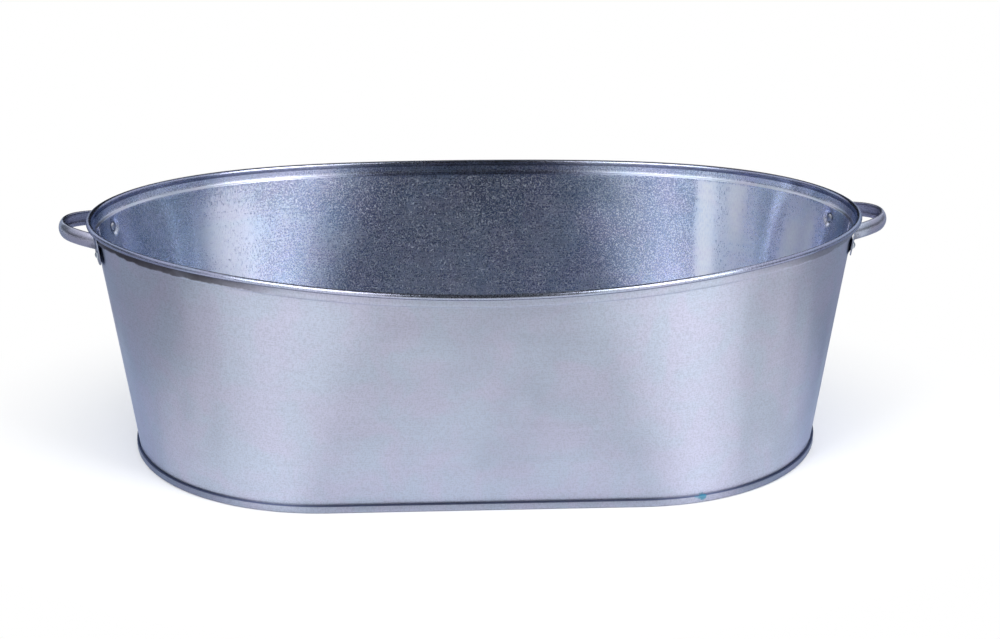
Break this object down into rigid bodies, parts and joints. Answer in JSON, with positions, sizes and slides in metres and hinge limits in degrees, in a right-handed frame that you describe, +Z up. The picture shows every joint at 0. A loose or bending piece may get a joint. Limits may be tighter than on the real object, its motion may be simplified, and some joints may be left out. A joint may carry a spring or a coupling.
{
  "type": "oval wash tub",
  "caption": "Oval sheet-steel tub with flared walls, a rolled wired rim, a double-seamed bottom and a riveted strap handle at each end.",
  "frame": {"origin": "centre of the base, on the ground that the bottom seam stands on", "axes": "+X along the length to the right-hand handle, +Y away from the viewer across the width, +Z up"},
  "size_m": [0.8586, 0.49, 0.2445],
  "materials": {
    "wall_zinc": "satin hot-dip zinc",
    "pan_zinc": "satin hot-dip zinc",
    "wire_steel": "plain drawn wire",
    "handle_zinc": "bright zinc",
    "rivet_zinc": "bright zinc"
  },
  "bodies": {
    "root": {"front_wall": "wall_zinc", "back_wall": "wall_zinc", "bottom_pan": "pan_zinc", "rim_wire": "wire_steel", "left_handle": "handle_zinc", "right_handle": "handle_zinc", "left_front_rivet": "rivet_zinc", "left_back_rivet": "rivet_zinc", "right_front_rivet": "rivet_zinc", "right_back_rivet": "rivet_zinc"}
  },
  "joints": []
}
